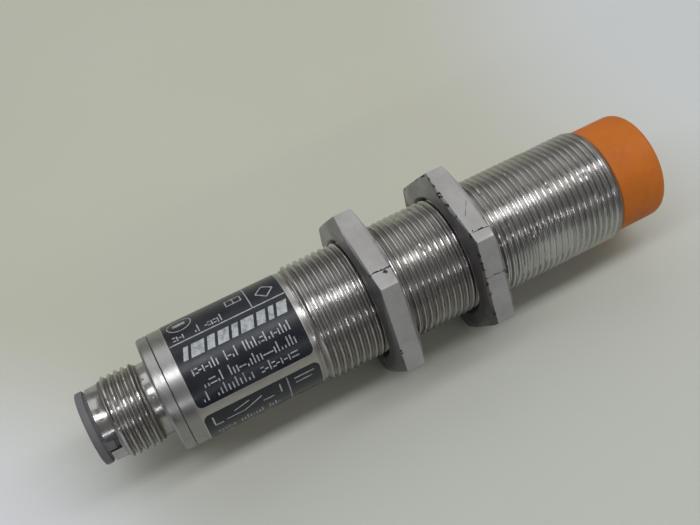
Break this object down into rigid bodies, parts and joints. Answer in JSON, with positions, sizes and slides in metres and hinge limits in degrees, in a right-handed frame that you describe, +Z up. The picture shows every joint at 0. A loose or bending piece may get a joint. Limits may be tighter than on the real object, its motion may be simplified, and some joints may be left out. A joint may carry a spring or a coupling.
{
  "type": "inductive proximity sensor",
  "caption": "Threaded barrel inductive proximity sensor with a plastic sensing cap, a threaded plug connector and hexagon lock nuts that clamp it in a bracket.",
  "frame": {"origin": "centre of the flat sensing face, on the sensor's axis", "axes": "+X along the sensor's axis, out of the sensing face; +Z up, with the sensor lying on one flat of each lock nut"},
  "size_m": [0.0906, 0.0278, 0.024],
  "materials": {
    "nickel_plated_brass": "nickel-plated, glossy, worn at the thread crests",
    "nut_metal": "nickel-plated, dull, chipped at the edges",
    "orange_plastic": "moulded, satin",
    "grey_plastic": "moulded, dull",
    "bobbin_plastic": "moulded, satin",
    "seal_rubber": "matt",
    "ferrite": "sintered, matt",
    "copper_wire": "enamelled",
    "insulating_film": "satin film",
    "board_laminate": "solder mask",
    "black_component": "moulded epoxy",
    "yellow_component": "moulded epoxy",
    "ceramic_component": "sintered ceramic",
    "white_component": "sintered ceramic",
    "potting_resin": "cast resin",
    "gold_contact": "gold-plated",
    "label_film": "printed film, black panels on silver"
  },
  "bodies": {
    "sensor": {"barrel": "nickel_plated_brass", "sensing_cap": "orange_plastic", "cap_seal_ring": "seal_rubber", "ferrite_core": "ferrite", "coil_bobbin": "bobbin_plastic", "coil_winding": "copper_wire", "coil_leads": "copper_wire", "core_carrier": "grey_plastic", "insulating_tube": "insulating_film", "circuit_board": "board_laminate", "control_chip": "black_component", "output_transistor": "black_component", "protection_diode": "black_component", "supply_capacitor": "yellow_component", "ceramic_capacitors": "ceramic_component", "resistors": "black_component", "trim_resistor": "white_component", "hook_up_wires": "copper_wire", "potting_compound": "potting_resin", "connector_shell": "nickel_plated_brass", "shell_seal_ring": "seal_rubber", "contact_carrier": "grey_plastic", "contact_pin_1": "gold_contact", "contact_pin_2": "gold_contact", "contact_pin_3": "gold_contact", "contact_pin_4": "gold_contact", "rating_label": "label_film"},
    "rear_nut": {"rear_lock_nut": "nut_metal"},
    "front_nut": {"front_lock_nut": "nut_metal"}
  },
  "joints": [
    {"name": "rear_nut_travel", "type": "slide", "parent": "sensor", "child": "rear_nut", "axis": [1, 0, 0], "range_m": [-0.0085, 0.0052]},
    {"name": "front_nut_travel", "type": "slide", "parent": "sensor", "child": "front_nut", "axis": [1, 0, 0], "range_m": [-0.0052, 0.021]}
  ]
}
